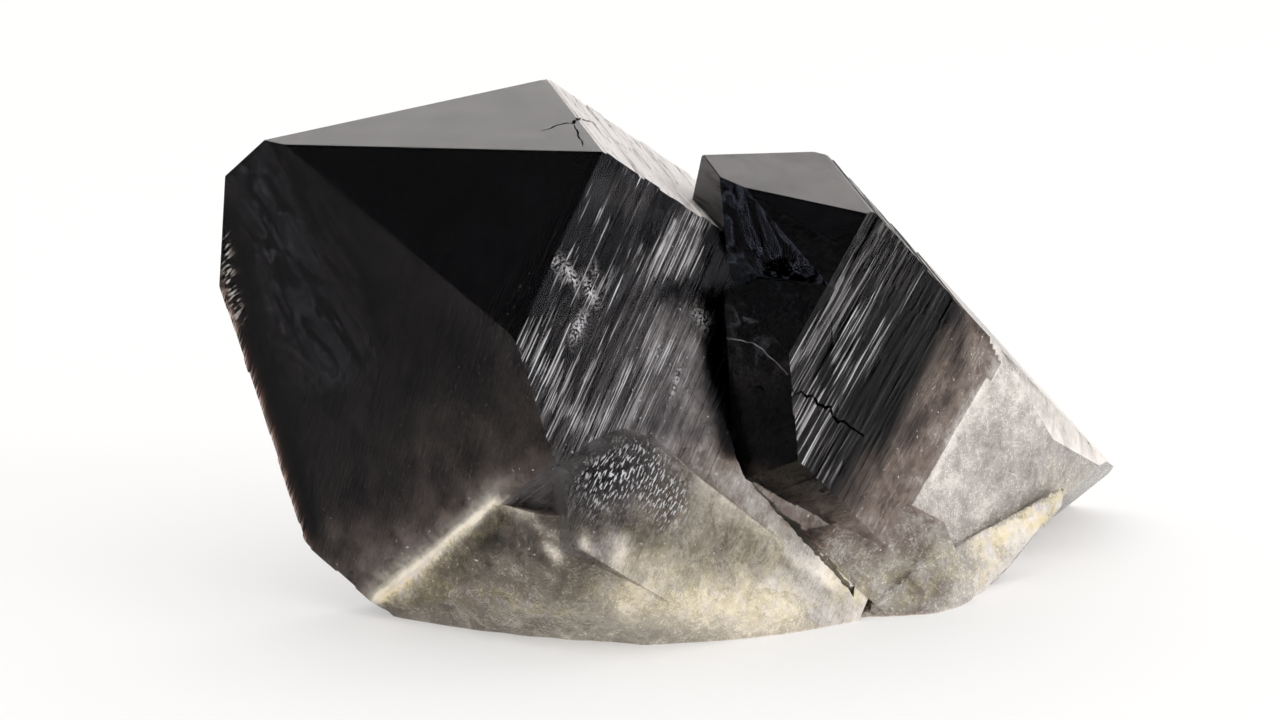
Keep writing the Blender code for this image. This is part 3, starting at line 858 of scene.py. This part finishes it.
# painted glints: pale streaks standing in for light caught on the ledge risers, where fine lines stand above 0.885 -
# 0.22 glint - 0.35 patches
lineFloor = minus(minus(0.885, times(marks["glint"], 0.22)), times(patches, 0.35))
paintedGlintsAndChips = ramp(minus(fineLines, lineFloor), 0.0, 0.055)
paintedGlintsAndChips = times(paintedGlintsAndChips, times(ramp(wideLines, 0.30, 0.62, 0.35, 1.0), ramp(lineTones, 0.36, 0.62, 0.30, 1.0)))
paintedGlintsAndChips = times(paintedGlintsAndChips, times(marks["striated"], ramp(marks["glint"], 0.0, 0.25)))
# the short dashes are painted glints as well; the flashes are white chips, the white crack and painted bright lines on
# the growth lines
dashes = times(ramp(shortDashes, 0.54, 0.62), marks["dash"])
flashes = times(marks["flash"], ramp(chips, 0.47, 0.53))
paintedGlintsAndChips = most(most(paintedGlintsAndChips, dashes), flashes)

# the milk wanders in wisps, cloud by cloud and grain by grain
wisps = cloud(where, 0.25, 6.0, 0.65, 0.5)
grainNoise = cloud(where, 1.1, 4.0, 0.7)
unevenness = ramp(marks["milk"], 0.0, 0.5, 0.04, 0.62)
milkiness = plus(marks["milk"], times(minus(wisps, 0.5), unevenness))
milkiness = plus(milkiness, times(minus(grainNoise, 0.5), times(unevenness, 0.55)))
swirl = cloud(where, 0.10, 8.0, 0.68, 2.2)
swirlShare = times(minus(1.0, marks["striated"]), ramp(marks["milk"], 0.02, 0.14, 0.0, 0.34))
milkiness = plus(milkiness, times(minus(swirl, 0.5), swirlShare))
veins = ramp(calc("ABSOLUTE", minus(cloud(where, 0.22, 6.0, 0.65, 0.8), 0.5)), 0.0, 0.022, 1.0, 0.0)
specks = ramp(cloud(where, 2.6, 2.0), 0.60, 0.68)
brightBits = most(times(veins, 0.12), times(specks, 0.18))
milkiness = plus(milkiness, times(brightBits, times(marks["broken"], ramp(marks["milk"], 0.1, 0.3))))
grit = drawnOut(4.5, 0.9, 3.0, 0.75)
gritShare = times(marks["striated"], ramp(marks["milk"], 0.03, 0.25, 0.0, 0.42))
milkiness = plus(milkiness, times(minus(grit, 0.5), gritShare))
lineShade = plus(minus(fineLines, 0.5), minus(wideLines, 0.5))
milkiness = plus(milkiness, times(times(lineShade, marks["striated"]), plus(times(marks["glint"], 0.75), 0.12)))
milkiness = least(most(milkiness, 0.0), 1.0)
scatter = times(calc("POWER", milkiness, 2.0), 0.95)
# tip face 1 is rougher and paler: the frost is partly a rough finish, and its pale scatter is a painted sheen standing
# in for the sky it reflects
paintedSheen = times(marks["frostAndSheen"], ramp(cloud(where, 0.12, 6.0, 0.75), 0.25, 0.75, 0.10, 0.17))
# painted reflection: side 1 of the left crystal is made pale to stand in for the bright sky it reflects at a grazing
# angle, broken by its growth lines
chalkLines = ramp(drawnOut(1.6, 0.10, 3.0, 0.6, 0.8), 0.34, 0.52, 0.40, 0.76)
chalk = times(marks["chalk"], chalkLines)
# veils: thin bright lines where a stretched, twisted noise crosses its middle, and soft clouds round them
veilNoise = drawnOut(0.10, 0.26, 6.0, 0.62, 1.8)
veilLine = ramp(calc("ABSOLUTE", minus(veilNoise, 0.5)), 0.0, 0.028, 1.0, 0.0)
veilCloud = ramp(veilNoise, 0.5, 0.72)
veils = plus(times(veilLine, 0.065), times(veilCloud, 0.045))
veils = times(veils, marks["haze"])
flecks = times(ramp(cloud(where, 1.7, 1.0), 0.73, 0.78, 0.0, 0.6), ramp(marks["milk"], 0.1, 0.3))
scatter = plus(plus(scatter, paintedSheen), plus(veils, chalk))
scatter = most(least(scatter, 0.96), most(times(paintedGlintsAndChips, 0.62), flecks))

tone = blendColor(ramp(milkiness, 0.36, 0.66), quartzLook["brown"], quartzLook["milky"])
tone = blendColor(marks["cream"], tone, quartzLook["cream"])
tone = blendColor(marks["grey"], tone, quartzLook["grey"])
stainNoise = ramp(cloud(where, 0.35, 5.0, 0.7), 0.35, 0.60)
tone = blendColor(times(least(marks["stain"], 1.0), stainNoise), tone, quartzLook["stain"])
tone = blendColor(least(marks["haze"], 1.0), tone, quartzLook["haze"])
tone = blendColor(most(marks["frostAndSheen"], marks["chalk"]), tone, quartzLook["frostAndSheen"])
tone = blendColor(most(paintedGlintsAndChips, flecks), tone, quartzLook["paintedGlintsAndChips"])
put(shader.inputs["Base Color"], tone)
put(shader.inputs["Transmission Weight"], minus(1.0, scatter))
roughness = plus(0.04, times(marks["striated"], 0.07))
roughness = plus(roughness, times(scatter, 0.35))
roughness = plus(roughness, times(marks["frostAndSheen"], 0.12))
put(shader.inputs["Roughness"], roughness)
put(shader.inputs["IOR"], quartzLook["ior"])
put(shader.inputs["Specular IOR Level"], quartzLook["specular"])
put(shader.inputs["Specular Tint"], (*quartzLook["tint"], 1.0))

# relief finer than the mesh: growth lines on the sides, fading in the milk, and grain on the breaks
lineRelief = plus(times(fineLines, 0.12), times(wideLines, 0.16))
lineRelief = times(lineRelief, times(marks["striated"], ramp(marks["milk"], 0.25, 0.5, 1.0, 0.0)))
grainRelief = plus(times(grainNoise, 0.55), times(cloud(where, 4.0, 3.0), 0.12))
grainRelief = times(grainRelief, most(marks["broken"], ramp(marks["milk"], 0.3, 0.7, 0.0, 0.4)))
bump = nodes.new("ShaderNodeBump")
put(bump.inputs["Distance"], mm)
put(bump.inputs["Height"], plus(lineRelief, grainRelief))
links.new(bump.outputs[0], shader.inputs["Normal"])
absorption = nodes.new("ShaderNodeVolumeAbsorption")
put(absorption.inputs["Color"], (*quartzLook["absorb"], 1.0))
put(absorption.inputs["Density"], quartzLook["density"])
links.new(absorption.outputs[0], output.inputs["Volume"])
mesh.materials.clear()
mesh.materials.append(quartzMaterial)

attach(quartz, "root")
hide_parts("smoky_quartz")
report("material made")

# The stage: a pale floor, a soft sky that is a little brighter on the camera's side, and one soft light.
stageLook = {
    "half": 4.0, "floor": (0.62, 0.615, 0.61), "glow": 0.33, "glowTint": (1.0, 0.985, 0.98), "roughness": 0.7,
    "specular": 0.1, "front": 1.10, "back": 1.02, "turn": (-0.5, 0.9), "tint": (1.0, 0.995, 0.985),
}
floorMesh = bpy.data.meshes.new("floor")
rim = [(x * stageLook["half"], y * stageLook["half"], 0.0) for x, y in ((-1, -1), (1, -1), (1, 1), (-1, 1))]
floorMesh.from_pydata(rim, [], [(0, 1, 2, 3)])
floor = placed("floor", floorMesh)
floorMaterial = bpy.data.materials.new("paleFloor")
floorMaterial.use_nodes = True
floorShader = floorMaterial.node_tree.nodes["Principled BSDF"]
put(floorShader.inputs["Base Color"], (*stageLook["floor"], 1.0))
put(floorShader.inputs["Emission Color"], (*stageLook["glowTint"], 1.0))  # the table glows a little
put(floorShader.inputs["Emission Strength"], stageLook["glow"])
put(floorShader.inputs["Roughness"], stageLook["roughness"])
put(floorShader.inputs["Specular IOR Level"], stageLook["specular"])
floorMesh.materials.append(floorMaterial)

world = bpy.data.worlds.new("softSky")
bpy.context.scene.world = world
world.use_nodes = True
sky = world.node_tree
background = sky.nodes["Background"]
skySplit = sky.nodes.new("ShaderNodeSeparateXYZ")
sky.links.new(sky.nodes.new("ShaderNodeTexCoord").outputs["Generated"], skySplit.inputs[0])
skyRange = sky.nodes.new("ShaderNodeMapRange")
skyRange.interpolation_type = "SMOOTHSTEP"
for socket, value in zip(skyRange.inputs, (0.0, *stageLook["turn"], stageLook["front"], stageLook["back"])):
    socket.default_value = value
sky.links.new(skySplit.outputs["Y"], skyRange.inputs[0])
sky.links.new(skyRange.outputs[0], background.inputs["Strength"])
put(background.inputs["Color"], (*stageLook["tint"], 1.0))

lightLook = {"at": (0.9, -0.5, 0.45), "aim": (0.0, 0.0, 0.03), "size": 0.35, "power": 2.2}  # in metres and watts
lightData = bpy.data.lights.new("rightLight", "AREA")
lightData.size, lightData.energy = lightLook["size"], lightLook["power"]
light = placed("rightLight", lightData)
light.location = lightLook["at"]
light.rotation_euler = (Vector(lightLook["aim"]) - Vector(lightLook["at"])).to_track_quat("-Z", "Y").to_euler()
bpy.context.scene.view_settings.view_transform = "Standard"

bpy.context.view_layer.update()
report("scene ready")
